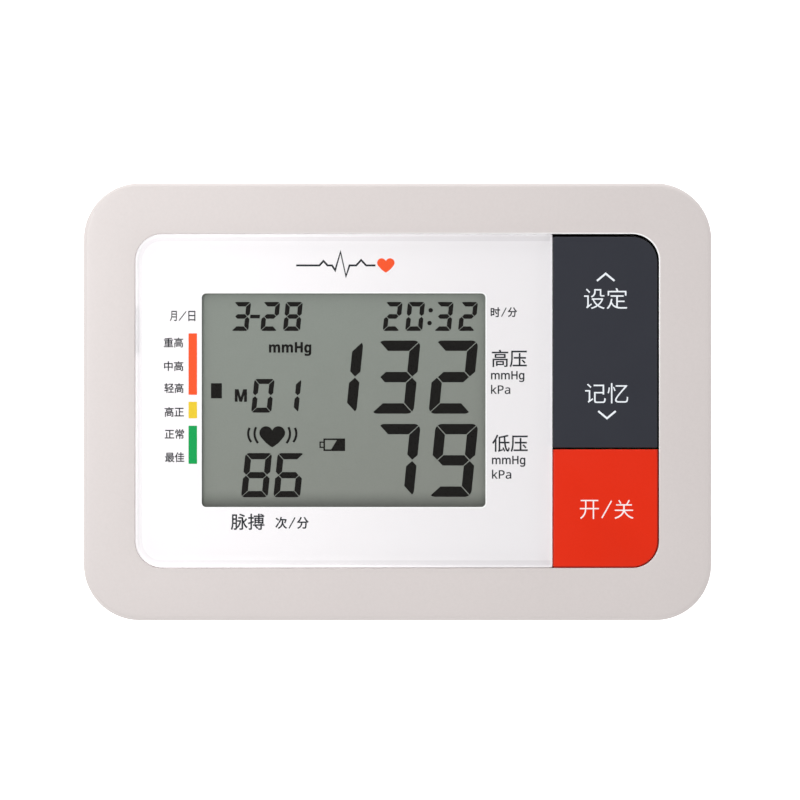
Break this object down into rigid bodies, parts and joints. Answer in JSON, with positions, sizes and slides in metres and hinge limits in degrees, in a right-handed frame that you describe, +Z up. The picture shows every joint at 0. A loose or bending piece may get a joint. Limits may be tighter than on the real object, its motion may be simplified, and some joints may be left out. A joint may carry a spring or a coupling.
{
  "type": "upper arm blood pressure monitor",
  "caption": "Flat desk unit with a rounded grey top, a wide display panel, a rocker key, a power key, a side air socket for an arm cuff and a rear power socket.",
  "frame": {"origin": "centre of the footprint on the table, under the four rubber feet", "axes": "+X to the keys, +Y to the display's top edge and the rear wall, +Z up"},
  "size_m": [0.14, 0.0974, 0.0423],
  "materials": {
    "grey_shell": "fine satin texture",
    "white_shell": "fine satin texture",
    "clear_lens": "polished clear acrylic",
    "white_print": "screen print under the lens",
    "foam_tape": "double-sided tape",
    "feet_rubber": "matte",
    "screw_steel": "zinc plated",
    "dark_key": "fine satin texture",
    "red_key": "fine satin texture",
    "dark_plastic": "satin",
    "plated_pin": "plated",
    "board_green": "solder mask",
    "cell_glass": "polished",
    "lcd_film": "anti-glare film",
    "reflector_film": "diffuse film",
    "natural_plastic": "satin",
    "zebra_rubber": "layered conductive silicone",
    "silicone": "silicone",
    "chip_epoxy": "moulded epoxy",
    "plated_tin": "nickel can",
    "can_sleeve": "printed sleeve",
    "motor_steel": "drawn and plated",
    "ferrite": "sintered",
    "bronze": "sintered",
    "carbon": "graphite",
    "ground_steel": "ground",
    "lamination": "varnished stack",
    "copper": "turned",
    "black_rubber": "moulded",
    "silicone_tube": "translucent silicone",
    "cell_label": "printed sleeve",
    "wire_sleeve": "PVC sleeve"
  },
  "bodies": {
    "case": {"front_case": "grey_shell", "rear_case": "white_shell", "display_lens": "clear_lens", "lens_print": "white_print", "lens_tape": "foam_tape", "rubber_feet": "feet_rubber", "case_screws": "screw_steel", "air_jack": "dark_plastic", "dc_jack_body": "dark_plastic", "dc_jack_pin": "plated_pin", "main_board": "board_green", "board_screws": "screw_steel", "lcd_front_glass": "cell_glass", "lcd_rear_glass": "cell_glass", "lcd_polariser": "lcd_film", "lcd_reflector": "reflector_film", "lcd_frame": "natural_plastic", "zebra_strips": "zebra_rubber", "set_dome": "silicone", "memory_dome": "silicone", "power_dome": "silicone", "processor_chip": "chip_epoxy", "small_chips": "chip_epoxy", "crystal_can": "plated_tin", "capacitors": "can_sleeve", "buzzer": "dark_plastic", "pressure_sensor": "natural_plastic", "wire_headers": "natural_plastic", "motor_can": "motor_steel", "motor_end_cap": "dark_plastic", "motor_magnets": "ferrite", "motor_bushes": "bronze", "motor_brushes": "carbon", "pump_housing": "natural_plastic", "pump_diaphragm": "black_rubber", "pump_valve_plate": "natural_plastic", "pump_cover": "natural_plastic", "pump_screws": "screw_steel", "pump_saddles": "black_rubber", "valve_yoke": "motor_steel", "valve_bobbin": "natural_plastic", "valve_coil": "copper", "valve_nozzle": "natural_plastic", "valve_spring": "ground_steel", "air_manifold": "natural_plastic", "air_tubes": "silicone_tube", "aa_cells": "cell_label", "battery_contacts": "plated_tin", "hookup_wires": "wire_sleeve"},
    "power_key": {"power_key": "red_key"},
    "mode_rocker": {"mode_rocker": "dark_key"},
    "battery_door": {"battery_door": "white_shell"},
    "pump_rotor": {"motor_shaft": "ground_steel", "armature": "lamination", "commutator": "copper", "eccentric_hub": "natural_plastic"},
    "pump_wobbler": {"wobble_plate": "natural_plastic", "drive_pin": "ground_steel"},
    "valve_plunger": {"valve_plunger": "ground_steel"}
  },
  "joints": [
    {"name": "power_key_press", "type": "slide", "parent": "case", "child": "power_key", "axis": [0, 0, -1], "range_m": [0, 0.001], "stiffness_N_per_m": 1200, "springref_m": -0.0002, "deforming": ["power_dome"]},
    {"name": "mode_rocker_tilt", "type": "hinge", "parent": "case", "child": "mode_rocker", "pos_m": [0.04633, 0.0133, 0.0365], "axis": [1, 0, 0], "range_deg": [-2.2, 2.2], "stiffness_Nm_per_rad": 0.4, "deforming": ["set_dome", "memory_dome"]},
    {"name": "battery_door_swing", "type": "hinge", "parent": "case", "child": "battery_door", "pos_m": [0.0342, -0.0289, 0.0015], "axis": [-1, 0, 0], "range_deg": [0, 75]},
    {"name": "pump_spin", "type": "hinge", "parent": "case", "child": "pump_rotor", "pos_m": [-0.014, -0.02, 0.017], "axis": [0, 1, 0], "continuous": true},
    {"name": "wobble_nutation", "type": "hinge", "parent": "pump_rotor", "child": "pump_wobbler", "pos_m": [-0.014, 0.0052, 0.017], "axis": [0, 0.9928, -0.1201], "continuous": true, "deforming": ["pump_diaphragm"]},
    {"name": "valve_plunger_slide", "type": "slide", "parent": "case", "child": "valve_plunger", "axis": [0, 1, 0], "range_m": [0, 0.0008], "stiffness_N_per_m": 200, "deforming": ["valve_spring"]}
  ],
  "couplings": [
    {"joint": "wobble_nutation", "follows": "pump_spin", "ratio": -1}
  ]
}
